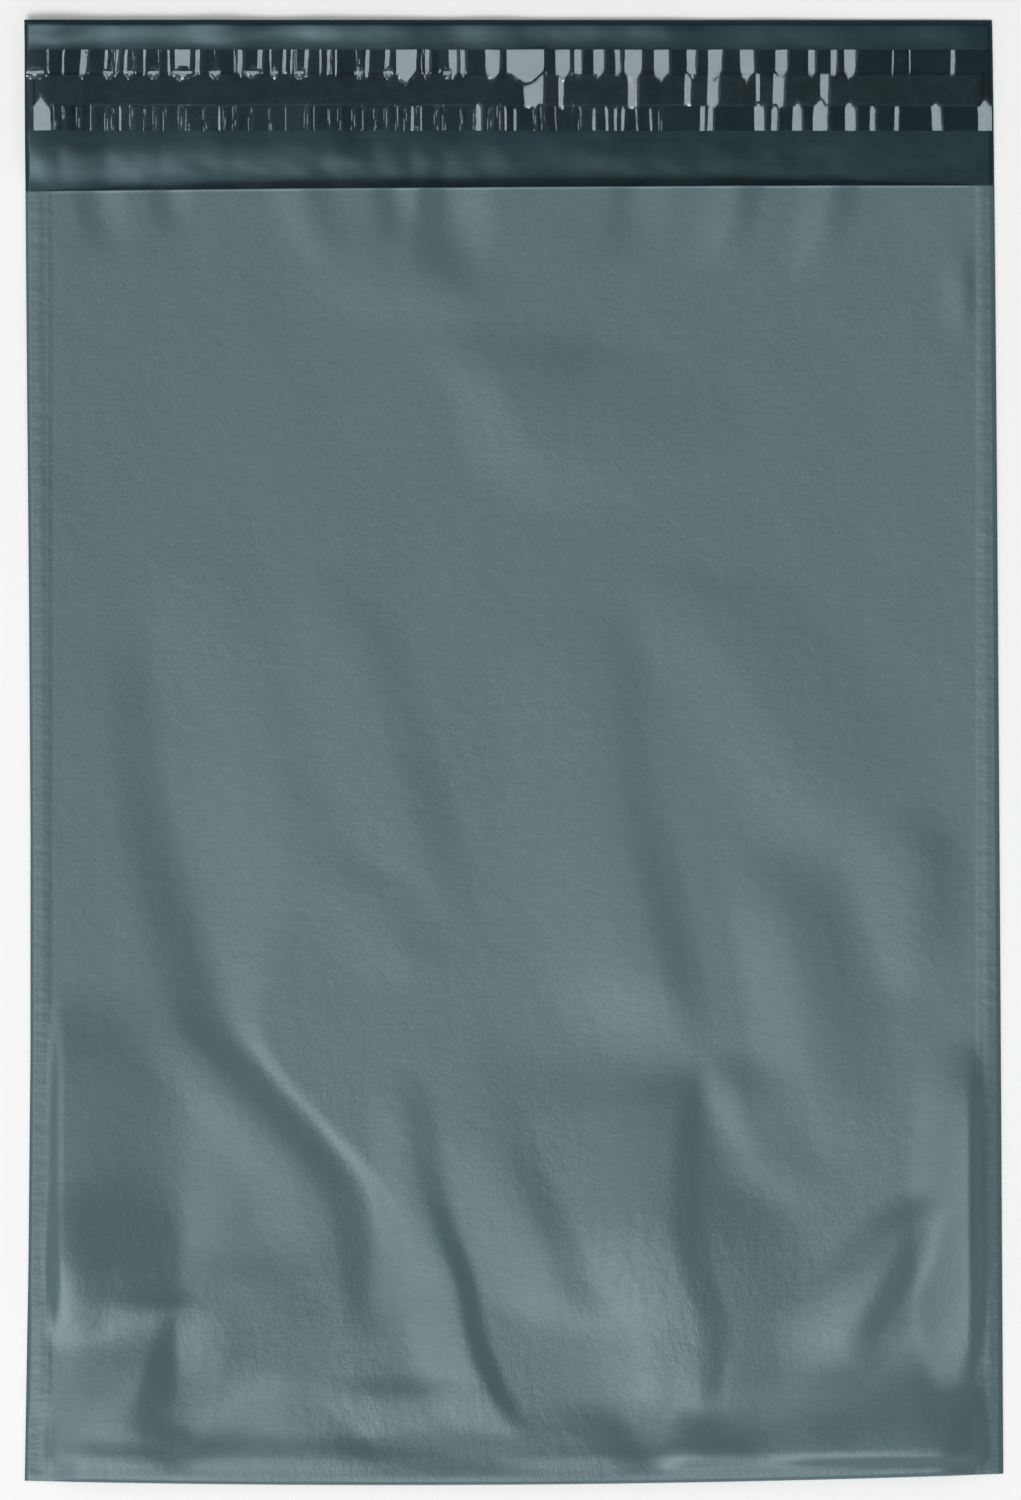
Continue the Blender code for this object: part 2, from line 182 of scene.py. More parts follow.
# A crease is a row of stations along its crest. Each gives its place across from the
# left cut edge and down from the mouth, its rise (below zero for a hollow), and the
# run of its slope on the left or upper side and on the right or lower side.
LENGTHWISE_CREASES = (
    # the rim beside the left weld
    ((0.006, 0.186, 0.0000, 0.003, 0.024),
     (0.006, 0.206, 0.0016, 0.003, 0.032),
     (0.006, 0.232, 0.0022, 0.003, 0.034),
     (0.006, 0.252, 0.0022, 0.003, 0.034),
     (0.006, 0.266, 0.0000, 0.003, 0.028)),
    # the hollow to its right
    ((0.037, 0.212, 0.0000, 0.021, 0.014),
     (0.035, 0.228, -0.0007, 0.025, 0.018),
     (0.034, 0.243, -0.0013, 0.026, 0.014),
     (0.034, 0.252, -0.0015, 0.026, 0.010),
     (0.034, 0.259, -0.0010, 0.024, 0.008),
     (0.034, 0.264, 0.0000, 0.021, 0.008)),
    # the long valley down the left
    ((0.029, 0.087, 0.0000, 0.014, 0.021),
     (0.030, 0.111, -0.0005, 0.014, 0.026),
     (0.032, 0.133, -0.0007, 0.014, 0.028),
     (0.035, 0.152, -0.0010, 0.015, 0.028),
     (0.040, 0.171, -0.0011, 0.016, 0.024),
     (0.044, 0.186, -0.0010, 0.015, 0.014),
     (0.048, 0.198, -0.0008, 0.014, 0.007),
     (0.057, 0.208, -0.0005, 0.013, 0.0024),
     (0.069, 0.221, -0.0004, 0.012, 0.0020),
     (0.078, 0.233, -0.0007, 0.011, 0.0042),
     (0.081, 0.247, -0.0009, 0.010, 0.009),
     (0.081, 0.262, -0.0007, 0.008, 0.010),
     (0.081, 0.272, 0.0000, 0.008, 0.010)),
    # the ridge on its left
    ((0.029, 0.186, 0.0000, 0.010, 0.014),
     (0.036, 0.200, 0.0003, 0.014, 0.014),
     (0.047, 0.213, 0.0005, 0.014, 0.014),
     (0.059, 0.226, 0.0006, 0.016, 0.014),
     (0.067, 0.240, 0.0005, 0.016, 0.013),
     (0.069, 0.254, 0.0003, 0.012, 0.012),
     (0.070, 0.264, 0.0000, 0.012, 0.011)),
    # the narrow fold
    ((0.086, 0.206, 0.0000, 0.008, 0.009),
     (0.088, 0.218, 0.0004, 0.009, 0.009),
     (0.090, 0.231, 0.0005, 0.011, 0.008),
     (0.095, 0.244, 0.0009, 0.013, 0.006),
     (0.101, 0.258, 0.0015, 0.014, 0.0045),
     (0.103, 0.268, 0.0018, 0.015, 0.0045),
     (0.107, 0.280, 0.0017, 0.016, 0.005),
     (0.112, 0.289, 0.0010, 0.016, 0.005),
     (0.115, 0.294, 0.0000, 0.014, 0.005)),
    # the softer fold beside it
    ((0.109, 0.212, 0.0000, 0.014, 0.008),
     (0.111, 0.226, 0.0005, 0.016, 0.010),
     (0.116, 0.239, 0.0009, 0.018, 0.011),
     (0.120, 0.249, 0.0011, 0.019, 0.012),
     (0.124, 0.260, 0.0009, 0.019, 0.012),
     (0.131, 0.270, 0.0000, 0.016, 0.012)),
    # the step right of the middle
    ((0.154, 0.205, 0.0000, 0.024, 0.006),
     (0.152, 0.217, 0.0008, 0.030, 0.010),
     (0.150, 0.233, 0.0018, 0.038, 0.024),
     (0.150, 0.247, 0.0024, 0.042, 0.034),
     (0.153, 0.258, 0.0019, 0.044, 0.036),
     (0.157, 0.267, 0.0013, 0.044, 0.034),
     (0.158, 0.281, 0.0007, 0.036, 0.024),
     (0.159, 0.292, 0.0000, 0.030, 0.012)),
    ((0.154, 0.207, 0.0000, 0.018, 0.004),
     (0.152, 0.217, 0.0006, 0.022, 0.006),
     (0.150, 0.233, 0.0012, 0.027, 0.009),
     (0.150, 0.247, 0.0014, 0.028, 0.010),
     (0.153, 0.258, 0.0012, 0.028, 0.010),
     (0.157, 0.267, 0.0010, 0.028, 0.009),
     (0.158, 0.281, 0.0007, 0.024, 0.006),
     (0.159, 0.290, 0.0000, 0.018, 0.004)),
    # the streak beside the step
    ((0.164, 0.202, 0.0000, 0.008, 0.014),
     (0.167, 0.214, 0.0009, 0.010, 0.016),
     (0.171, 0.228, 0.0008, 0.011, 0.016),
     (0.176, 0.241, 0.0000, 0.011, 0.016)),
    # soft waves over the middle and the right
    ((0.134, 0.094, 0.0000, 0.028, 0.009),
     (0.135, 0.115, 0.0004, 0.028, 0.012),
     (0.137, 0.143, 0.0006, 0.028, 0.013),
     (0.142, 0.166, 0.0009, 0.031, 0.013),
     (0.147, 0.186, 0.0009, 0.031, 0.012),
     (0.152, 0.206, 0.0000, 0.026, 0.010)),
    ((0.153, 0.087, 0.0000, 0.016, 0.026),
     (0.159, 0.098, 0.0003, 0.022, 0.031),
     (0.171, 0.118, 0.0005, 0.024, 0.035),
     (0.187, 0.144, 0.0005, 0.026, 0.033),
     (0.196, 0.163, 0.0000, 0.021, 0.028)),
    ((0.205, 0.144, 0.0000, 0.016, 0.014),
     (0.208, 0.160, 0.0008, 0.019, 0.014),
     (0.207, 0.179, 0.0007, 0.016, 0.014),
     (0.205, 0.193, 0.0000, 0.014, 0.014)),
    ((0.175, 0.155, 0.0000, 0.014, 0.016),
     (0.179, 0.174, 0.0010, 0.016, 0.020),
     (0.182, 0.191, 0.0012, 0.016, 0.021),
     (0.184, 0.212, 0.0009, 0.016, 0.021),
     (0.185, 0.231, 0.0000, 0.016, 0.019)),
    ((0.071, 0.153, 0.0000, 0.016, 0.009),
     (0.081, 0.167, 0.0003, 0.019, 0.014),
     (0.087, 0.179, 0.0003, 0.019, 0.014),
     (0.090, 0.191, 0.0000, 0.016, 0.009)),
    ((0.071, 0.087, 0.0000, 0.021, 0.009),
     (0.078, 0.106, 0.0003, 0.021, 0.012),
     (0.085, 0.134, 0.0004, 0.021, 0.013),
     (0.092, 0.158, 0.0004, 0.019, 0.012),
     (0.097, 0.179, 0.0000, 0.016, 0.009)),
    # the dent and the rim in the lower right corner
    ((0.210, 0.236, 0.0000, 0.012, 0.008),
     (0.205, 0.246, 0.0017, 0.014, 0.010),
     (0.200, 0.256, 0.0023, 0.019, 0.012),
     (0.194, 0.268, 0.0013, 0.023, 0.010),
     (0.190, 0.279, 0.0000, 0.020, 0.009)),
    ((0.222, 0.200, 0.0000, 0.014, 0.004),
     (0.223, 0.215, 0.0022, 0.016, 0.005),
     (0.223, 0.238, 0.0030, 0.017, 0.005),
     (0.223, 0.259, 0.0030, 0.016, 0.005),
     (0.221, 0.276, 0.0012, 0.012, 0.004),
     (0.219, 0.284, 0.0000, 0.008, 0.004)),
    # the three-cornered dent in the lower left corner
    ((0.035, 0.261, 0.0000, 0.004, 0.012),
     (0.035, 0.269, -0.0011, 0.006, 0.013),
     (0.036, 0.279, -0.0014, 0.010, 0.011),
     (0.037, 0.289, -0.0007, 0.012, 0.007),
     (0.038, 0.297, 0.0000, 0.012, 0.005)),
    ((0.033, 0.263, 0.0000, 0.014, 0.003),
     (0.031, 0.270, 0.0007, 0.016, 0.005),
     (0.026, 0.281, 0.0015, 0.020, 0.010),
     (0.022, 0.290, 0.0009, 0.018, 0.014),
     (0.020, 0.297, 0.0000, 0.016, 0.016)),
    # the rise to its right
    ((0.056, 0.246, 0.0000, 0.018, 0.020),
     (0.058, 0.258, 0.0004, 0.020, 0.022),
     (0.060, 0.271, 0.0011, 0.024, 0.026),
     (0.062, 0.281, 0.0015, 0.025, 0.028),
     (0.063, 0.290, 0.0008, 0.024, 0.026),
     (0.064, 0.297, 0.0000, 0.020, 0.022)),
    # slack below the mouth
    ((0.104, 0.030, 0.0000, 0.016, 0.030),
     (0.112, 0.044, 0.0006, 0.018, 0.050),
     (0.119, 0.060, 0.0006, 0.020, 0.055),
     (0.127, 0.080, 0.0000, 0.018, 0.035)),
    ((0.016, -0.007, -0.0006, 0.007, 0.007),
     (0.018, 0.007, -0.0005, 0.007, 0.007),
     (0.019, 0.017, 0.0000, 0.007, 0.007)),
    ((0.034, -0.007, -0.0005, 0.006, 0.006),
     (0.034, 0.003, -0.0005, 0.006, 0.006),
     (0.035, 0.012, 0.0000, 0.006, 0.006)),
    ((0.064, -0.007, 0.0004, 0.009, 0.008),
     (0.067, 0.007, 0.0004, 0.009, 0.008),
     (0.071, 0.021, 0.0000, 0.009, 0.008)),
    ((0.087, -0.007, -0.0006, 0.006, 0.006),
     (0.087, 0.003, -0.0006, 0.006, 0.006),
     (0.088, 0.014, 0.0000, 0.006, 0.006)),
    ((0.100, -0.007, -0.0010, 0.009, 0.010),
     (0.100, 0.010, -0.0010, 0.010, 0.011),
     (0.101, 0.026, 0.0000, 0.010, 0.011)),
    ((0.144, -0.007, -0.0005, 0.008, 0.009),
     (0.143, 0.005, -0.0005, 0.008, 0.009),
     (0.141, 0.019, 0.0000, 0.008, 0.008)),
    ((0.168, -0.007, 0.0006, 0.008, 0.007),
     (0.166, 0.007, 0.0006, 0.009, 0.007),
     (0.162, 0.021, 0.0000, 0.009, 0.007)),
    ((0.191, -0.007, 0.0007, 0.008, 0.007),
     (0.188, 0.007, 0.0007, 0.008, 0.008),
     (0.183, 0.024, 0.0000, 0.008, 0.008)),
    ((0.221, 0.010, 0.0000, 0.007, 0.005),
     (0.221, 0.024, 0.0004, 0.007, 0.004),
     (0.221, 0.040, 0.0000, 0.007, 0.004)),
)
CROSSWISE_CREASES = (
    # the lower edge of the puffed part
    ((0.002, 0.260, 0.0000, 0.028, 0.010),
     (0.005, 0.260, 0.0012, 0.028, 0.012),
     (0.020, 0.260, 0.0015, 0.030, 0.012),
     (0.031, 0.260, 0.0011, 0.028, 0.012),
     (0.038, 0.261, 0.0004, 0.018, 0.018),
     (0.064, 0.262, 0.0003, 0.018, 0.024),
     (0.092, 0.261, 0.0001, 0.018, 0.024),
     (0.116, 0.259, 0.0000, 0.018, 0.026),
     (0.139, 0.260, 0.0000, 0.018, 0.024),
     (0.151, 0.264, 0.0000, 0.009, 0.019)),
    # the roll beside the bottom fold
    ((0.002, 0.2965, 0.0010, 0.016, 0.005),
     (0.024, 0.2970, 0.0012, 0.016, 0.005),
     (0.036, 0.2980, 0.0007, 0.008, 0.004),
     (0.050, 0.2980, 0.0006, 0.007, 0.004),
     (0.080, 0.2982, 0.0006, 0.006, 0.004),
     (0.112, 0.2975, 0.0007, 0.009, 0.004),
     (0.120, 0.2980, 0.0011, 0.012, 0.004),
     (0.138, 0.2980, 0.0012, 0.011, 0.004),
     (0.1445, 0.2985, 0.0003, 0.006, 0.003),
     (0.1475, 0.2985, 0.0004, 0.006, 0.003),
     (0.152, 0.2980, 0.0013, 0.011, 0.004),
     (0.166, 0.2980, 0.0013, 0.011, 0.004),
     (0.173, 0.2985, 0.0008, 0.014, 0.003),
     (0.186, 0.2988, 0.0019, 0.024, 0.0025),
     (0.205, 0.2990, 0.0026, 0.027, 0.0022),
     (0.222, 0.2990, 0.0023, 0.025, 0.0022),
     (0.231, 0.2990, 0.0012, 0.021, 0.0022)),
    # the smudge beside the hollow, and the step between the narrow fold and its left
    ((0.036, 0.2570, 0.0000, 0.008, 0.010),
     (0.044, 0.2575, 0.0002, 0.008, 0.010),
     (0.058, 0.2570, 0.0002, 0.008, 0.010),
     (0.067, 0.2560, 0.0000, 0.008, 0.010)),
    ((0.066, 0.2840, 0.0000, 0.006, 0.012),
     (0.076, 0.2845, 0.0005, 0.006, 0.012),
     (0.098, 0.2850, 0.0005, 0.006, 0.012),
     (0.108, 0.2860, 0.0000, 0.006, 0.012)),
    # a low swelling below the mouth
    ((0.058, 0.018, 0.0000, 0.012, 0.010),
     (0.078, 0.020, 0.0003, 0.016, 0.013),
     (0.098, 0.023, 0.0003, 0.016, 0.014),
     (0.116, 0.030, 0.0000, 0.012, 0.010)),
    # the valley under the soft waves
    ((0.100, 0.204, 0.0000, 0.020, 0.014),
     (0.118, 0.205, -0.0005, 0.024, 0.016),
     (0.134, 0.203, -0.0005, 0.024, 0.016),
     (0.154, 0.199, 0.0000, 0.018, 0.014)),
)

# Cells of the fine meshes
WEB_COLUMNS = 190
FRONT_ROWS = 202
LIP_ROWS = 6
BACK_ROWS = 6
FOLD_ROWS = 6
FLAP_ROWS = 26
LINER_COLUMNS = 1500
LINER_ROWS = 30
ADHESIVE_COLUMNS = 240
ADHESIVE_ROWS = 12

# Shares of the broad swell's slope, across and along the bag, that are taken out of the
# film's shading; more than 1 leans it a little the other way
SWELL_LEVELLED = (1.30, 0.85, 0.0)

# Darkest and lightest tone of the outer film, the inner film and the adhesive
OUTER_TONES = ((0.047, 0.093, 0.102), (0.057, 0.109, 0.119))
INNER_TONES = ((0.003, 0.012, 0.016), (0.005, 0.016, 0.020))
ADHESIVE_TONES = ((0.004, 0.009, 0.011), (0.011, 0.020, 0.024))

# Depths of the outer film's bumps, from the broadest to the finest
SLACK_DEPTH = 0.0005
CRINKLE_DEPTH = 0.00042
MOTTLE_DEPTH = 0.00014
RIPPLE_DEPTH = 0.00025
GRAIN_DEPTH = 0.00002

# Depths of the bumps of the inner film, the adhesive and the liner
WAVE_DEPTH = 0.0013
INNER_RIPPLE_DEPTH = 0.00005
INNER_STREAK_DEPTH = 0.00002
TACK_DEPTH = 0.00006
HAZE_DEPTH = 0.00005

# Y from which the crinkles set in and where they reach their full depth, the X about
# which they are deepest, and how far from it they fade to which share
CRINKLE_START = -0.040
CRINKLE_FULL = -0.120
CRINKLE_MIDDLE = -0.012
CRINKLE_FADE = (0.045, 0.075)
CRINKLE_SIDE_SHARE = 0.5

# Distance from the middle at which the ripple of the side welds sets in and is full
WELD_RIPPLE = (0.1085, 0.1095)

# Tint of the sheen of the black inner face and the adhesive
INNER_TINT = (0.62, 0.92, 1.0, 1.0)

# Softboxes: place, size and power. The surround goes from its first level to its second
# between two heights of the direction, 0.5 being the horizon.
KEY_LIGHT = ((-0.70, -1.42, 3.00), (1.40, 1.40), 74.0)
SIDE_LIGHT = ((-1.34, 0.10, 3.00), (0.95, 1.70), 22.0)
SURROUND_HEIGHTS = (0.50, 0.80)
SURROUND_LEVELS = (0.66, 0.05)

# Floor, a hair under the bag
FLOOR_SIZE = 6.0
FLOOR_DROP = 0.0002
FLOOR_GREY = 0.88

# Camera and the field that the photograph takes in
FIELD_HEIGHT = 0.3528
LENS_MM = 300.0
SENSOR_MM = 36.0
CAMERA_OFFSET = (-0.0008, 0.0006)


def ease(value):
    """0 below 0, 1 above 1, and a smooth rise between."""
    value = np.clip(value, 0.0, 1.0)
    return value * value * (3.0 - 2.0 * value)


def swell(value):
    """0 at 0, 1 from 1 on, rising fast at first like a blown-up film."""
    return 1.0 - (1.0 - np.clip(value, 0.0, 1.0)) ** 2


def ramp(value, bend):
    """A straight rise from 0 to 1 with a round bend at both ends."""
    value = np.clip(value, 0.0, 1.0)
    near = np.minimum(value, 1.0 - value)
    low = np.where(near < bend, near * near / (2.0 * bend), near - 0.5 * bend) / (1.0 - bend)
    return np.where(value < 0.5, low, 1.0 - low)


def left_edge(y):
    """X of the left cut edge, which bows in."""
    down = np.clip(-y / BAG_LENGTH, 0.0, 1.0)
    return -0.5 * BAG_WIDTH + LEFT_BOW * np.sin(np.pi * down ** 1.5)


def right_edge(y):
    """X of the right cut edge, which leans out towards the bottom."""
    down = np.clip(-y / BAG_LENGTH, 0.0, 1.0)
    return 0.5 * BAG_WIDTH + RIGHT_LEAN * down ** 0.7


def across(u, y):
    """X at the share u of the width."""
    return left_edge(y) + u * (right_edge(y) - left_edge(y))


def mouth_y(u):
    """Y of the front panel's top edge."""
    return -FLAP_DEPTH + MOUTH_TILT * (u - 0.5)


def bottom_y(u):
    """Y of the bottom fold."""
    return -BAG_LENGTH + BOTTOM_CORNER_RISE * u * u - 4.0 * BOTTOM_SAG * u * (1.0 - u)


def plan_centre():
    """Middle of the bag's outline in X and Y."""
    steps = np.linspace(0.0, 1.0, 101)
    left = left_edge(-steps * BAG_LENGTH).min()
    right = right_edge(-steps * BAG_LENGTH).max()
    return 0.5 * (left + right), 0.5 * bottom_y(steps).min()


def smooth_through(places, values, where):
    """Values at where on a smooth curve through values at places, held at its ends."""
    slopes = np.gradient(values, places)
    slopes[[0, -1]] = 0.0
    where = np.clip(where, places[0], places[-1])
    span = np.clip(np.searchsorted(places, where, side="right") - 1, 0, len(places) - 2)
    step = places[span + 1] - places[span]
    t = (where - places[span]) / step
    return ((1.0 + 2.0 * t) * (1.0 - t) ** 2 * values[span]
            + t * (1.0 - t) ** 2 * step * slopes[span]
            + t * t * (3.0 - 2.0 * t) * values[span + 1]
            + t * t * (t - 1.0) * step * slopes[span + 1])


def crease_height(stations, along, over):
    """Height of one crease; its stations give along, over, rise and the two runs."""
    table = np.array(stations)
    places = table[:, 0]
    crest, rise, before, after = (smooth_through(places, table[:, column], along)
                                  for column in range(1, 5))
    run = np.where(over < crest, before, after)
    inside = (ease((along - places[0]) / CREASE_END_RUN)
              * ease((places[-1] - along) / CREASE_END_RUN))
    return rise * inside * (1.0 - ease(np.abs(over - crest) / run))


def turned(stations):
    """The same crease with each station's place given as down, across."""
    return [(down, side, *rest) for side, down, *rest in stations]


def inward(u, y):
    """Distance in from the nearer cut edge."""
    return np.minimum(u, 1.0 - u) * (right_edge(y) - left_edge(y))


def valley_up(u, y):
    """How far above the bottom fold the valley runs."""
    return smooth_through(*np.array(VALLEY_LINE).T, across(u, y) - left_edge(y))


def pocket_height(u, y):
    """Height of the pocket's broad swell, and its share of the full rise from the bottom up."""
    side = np.maximum(inward(u, y) - SEAM_WIDTH, 0.0)
    up = np.maximum(y - bottom_y(u), 0.0)
    valley = valley_up(u, y)
    rise = MOUTH_RISE + (POCKET_RISE - MOUTH_RISE) * ease((mouth_y(u) - y) / MOUTH_RUN)
    puff = ramp((up - valley) / (PLATEAU_UP - valley), BOTTOM_BEND)
    return rise * swell(side / SIDE_RUN) * puff, puff


def swell_slope(u, y):
    """Slope of the pocket's broad swell, across the bag and along it."""
    side = inward(u, y) - SEAM_WIDTH
    rise = pocket_height(0.5 + 0.0 * u, y)[0]
    slope = 2.0 * rise / SIDE_RUN * np.clip(1.0 - side / SIDE_RUN, 0.0, 1.0)
    sideways = np.where(side > 0.0, slope, 0.0) * np.sign(0.5 - u)
    along = pocket_height(u, y + SWELL_STEP)[0] - pocket_height(u, y - SWELL_STEP)[0]
    return np.stack([sideways, along / (2.0 * SWELL_STEP), np.zeros_like(u)], axis=-1)


def weld_height(u, y):
    """Height that the side welds give the front panel, carried on into the panel."""
    down = mouth_y(u) - y
    left = (LEFT_CROWN * ease((down - LEFT_CROWN_START) / LEFT_CROWN_START_RUN)
            * ease((LEFT_CROWN_END - down) / LEFT_CROWN_END_RUN))
    right = RIGHT_CROWN * ease((down - RIGHT_CROWN_START) / RIGHT_CROWN_START_RUN)
    side = np.maximum(inward(u, y) - SEAM_WIDTH, 0.0)
    crown = np.where(u < 0.5, left, right) * ease(inward(u, y) / SEAM_WIDTH)
    return WELD_THICKNESS + crown * ease(1.0 - side / CROWN_INWARD_RUN)


def front_height(u, y):
    """Height of the front panel's outer face over the ground."""
    side = np.maximum(inward(u, y) - SEAM_WIDTH, 0.0)
    up = np.maximum(y - bottom_y(u), 0.0)
    down = mouth_y(u) - y
    from_left = across(u, y) - left_edge(y)
    dip = ease((up - FOLD_CREST) / (valley_up(u, y) - FOLD_CREST))
    fold = (FOLD_HEIGHT - FOLD_DIP * dip) * ease(side / FOLD_RUN)
    pocket, puff = pocket_height(u, y)
    crease = sum(crease_height(turned(item), down, from_left) for item in LENGTHWISE_CREASES)
    crease = crease + sum(crease_height(item, from_left, down) for item in CROSSWISE_CREASES)
    crease = crease * ease(side / CREASE_SEAM_RUN) * ease(up / CREASE_BOTTOM_RUN)
    lip = MOUTH_LIP * ease(1.0 - down / MOUTH_LIP_RUN) * ease(side / CREASE_SEAM_RUN)
    return weld_height(u, y) + fold * (1.0 - puff) + pocket + crease + lip


def flap_level_end(turn):
    """Where the flap's level film ends, in scallops that come and go along the flap."""
    arc = (0.5 * turn * FLAP_WAVE_PITCH / FLAP_SCALLOP_PITCH
           + FLAP_SCALLOP_DRIFT * np.sin(FLAP_SCALLOP_DRIFT_RATE * turn))
    middle, swing = FLAP_SCALLOP_FADE
    fade = middle + swing * np.sin(FLAP_SCALLOP_FADE_RATE * turn + 1.0)
    return FLAP_LEVEL_END + FLAP_SCALLOP * np.abs(np.sin(arc)) * fade


def flap_height(u, y):
    """Height of the flap's lower face: a curled free edge, level film, and a fall to the mouth."""
    down = np.clip(-y, 0.0, FLAP_DEPTH)
    turn = 2.0 * np.pi * u * BAG_WIDTH / FLAP_WAVE_PITCH
    middle, first, second = FLAP_WAVE_SHARES
    wave = middle + first * np.sin(turn + FLAP_WAVE_DRIFT * down / FLAP_DEPTH)
    wave = wave + second * np.sin(FLAP_WAVE_RATE * turn)
    even, waved = FLAP_CURL_SHARES
    curl = FLAP_CURL * (even + waved * wave) * (1.0 - ease(down / FLAP_CURL_RUN))
    level_end = flap_level_end(turn)
    fall = 1.0 - ease((down - level_end) / (FLAP_DEPTH - level_end))
    lift = (FLAP_LIFT + FLAP_WAVE_RISE * wave) * fall
    return (curl + lift) * (1.0 - FLAP_SIDE_DROP * u)


def web_zones(u):
    """The web's rows from the flap's free edge to the front panel's mouth, and the slope
    of the broad swell at each of their points."""
    mouth = mouth_y(u)
    radius = 0.5 * front_height(u, bottom_y(u))
    low = bottom_y(u) + radius
    rows = []
    for t in np.linspace(0.0, 1.0, FLAP_ROWS + 1):
        y = t * mouth
        rows.append((across(u, y), y, flap_height(u, y)))
    for t in np.linspace(0.0, 1.0, BACK_ROWS + 1)[1:]:
        y = mouth + t * (low - mouth)
        rows.append((across(u, y), y, np.zeros_like(u)))
    for t in np.linspace(0.0, 1.0, FOLD_ROWS + 1)[1:]:
        y = bottom_y(u) + radius * (1.0 - math.sin(math.pi * t))
        rows.append((across(u, y), y, radius * (1.0 - math.cos(math.pi * t))))
    last = 2.0 * MOUTH_LIP_RUN / POCKET_DEPTH
    steps = np.concatenate([np.linspace(0.0, 1.0 - last, FRONT_ROWS + 1)[1:],
                            1.0 - last * np.linspace(1.0, 0.0, LIP_ROWS + 1)[1:]])
    slopes = [np.zeros((len(u), 3))] * len(rows)
    for t in steps:
        y = low + t * (mouth - low)
        rows.append((across(u, y), y, front_height(u, y)))
        slopes.append(swell_slope(u, y))
    return rows, np.array(slopes)


def grid_object(name, rows):
    """A mesh object whose faces join rows of points, each given as its X, Y and Z."""
    points = np.array([np.stack(row, axis=-1) for row in rows])
    count, columns, _ = points.shape
    centre_x, centre_y = plan_centre()
    flat = points.reshape(-1, 3) - np.array([centre_x, centre_y, 0.0])
    index = np.arange(count * columns).reshape(count, columns)
    corners = (index[:-1, :-1], index[:-1, 1:], index[1:, 1:], index[1:, :-1])
    faces = np.stack([corner.ravel() for corner in corners], axis=-1)
    mesh = bpy.data.meshes.new(name)
    mesh.from_pydata(flat.tolist(), [], faces.tolist())
    mesh.update()
    mesh.shade_smooth()
    piece = bpy.data.objects.new(name, mesh)
    bpy.context.scene.collection.objects.link(piece)
    return piece


def thicken(piece, thickness, offset, inner_slot=0):
    """Give a sheet its thickness, with the inner face in another material slot if asked."""
    solidify = piece.modifiers.new("Thickness", "SOLIDIFY")
    solidify.thickness = thickness
    solidify.offset = offset
    solidify.use_even_offset = True
    solidify.material_offset = inner_slot


class Nodes:
    """Short ways to add nodes to one material."""

    def __init__(self, name):
        self.material = bpy.data.materials.new(name)
        self.material.use_nodes = True
        self.tree = self.material.node_tree
        self.shader = self.tree.nodes["Principled BSDF"]
        self.coordinates = self.tree.nodes.new("ShaderNodeTexCoord").outputs["Object"]

    def set(self, **values):
        """Set sockets of the shader by name, with _ for a space."""
        for name, value in values.items():
            self.shader.inputs[name.replace("_", " ")].default_value = value

    def link(self, output, name):
        """Link an output to a socket of the shader."""
        self.tree.links.new(output, self.shader.inputs[name])

    def mapped(self, scale):
        """Object coordinates stretched by a scale per axis."""
        mapping = self.tree.nodes.new("ShaderNodeMapping")
        mapping.inputs["Scale"].default_value = scale
        self.tree.links.new(self.coordinates, mapping.inputs["Vector"])
        return mapping.outputs["Vector"]

    def noise(self, scale, detail=3.0, roughness=0.5, distortion=0.0):
        """Noise from 0 to 1, at a scale in cycles per metre on each axis."""
        noise = self.tree.nodes.new("ShaderNodeTexNoise")
        self.tree.links.new(self.mapped(scale), noise.inputs["Vector"])
        noise.inputs["Scale"].default_value = 1.0
        noise.inputs["Detail"].default_value = detail
        noise.inputs["Roughness"].default_value = roughness
        noise.inputs["Distortion"].default_value = distortion
        return noise.outputs["Fac"]

    def combine(self, kind, operation, values):
        """One sum of numbers, vectors or outputs, by a Math or a VectorMath node."""
        node = self.tree.nodes.new("ShaderNode" + kind)
        node.operation = operation
        for socket, value in zip(node.inputs, values):
            if isinstance(value, (float, tuple)):
                socket.default_value = value
            else:
                self.tree.links.new(value, socket)
        return node.outputs[0]

    def math(self, operation, *values):
        """One sum of numbers or outputs."""
        return self.combine("Math", operation, values)

    def vector(self, operation, *values):
        """One sum of vectors or outputs."""
        return self.combine("VectorMath", operation, values)

    def axis(self, name):
        """Object coordinate along one axis."""
        split = self.tree.nodes.new("ShaderNodeSeparateXYZ")
        self.tree.links.new(self.coordinates, split.inputs["Vector"])
        return split.outputs[name]

    def spread(self, value, low, high, low_out, high_out):
        """Value mapped from low..high to low_out..high_out and held there."""
        node = self.tree.nodes.new("ShaderNodeMapRange")
        for name, number in zip(("From Min", "From Max", "To Min", "To Max"),
                                (low, high, low_out, high_out)):
            node.inputs[name].default_value = number
        self.tree.links.new(value, node.inputs["Value"])
        return node.outputs["Result"]

    def mix(self, share, first, second):
        """Colour between two colours."""
        node = self.tree.nodes.new("ShaderNodeMix")
        node.data_type = "RGBA"
        self.tree.links.new(share, node.inputs["Factor"])
        sockets = [item for item in node.inputs if item.type == "RGBA"]
        for socket, colour in zip(sockets, (first, second)):
            socket.default_value = (*colour, 1.0)
        return [item for item in node.outputs if item.type == "RGBA"][0]

    def bump(self, height, distance, strength=1.0, normal=None):
        """Normal from a height in units of distance metres."""
        node = self.tree.nodes.new("ShaderNodeBump")
        node.inputs["Distance"].default_value = distance
        node.inputs["Strength"].default_value = strength
        self.tree.links.new(height, node.inputs["Height"])
        if normal is not None:
            self.tree.links.new(normal, node.inputs["Normal"])
        return node.outputs["Normal"]


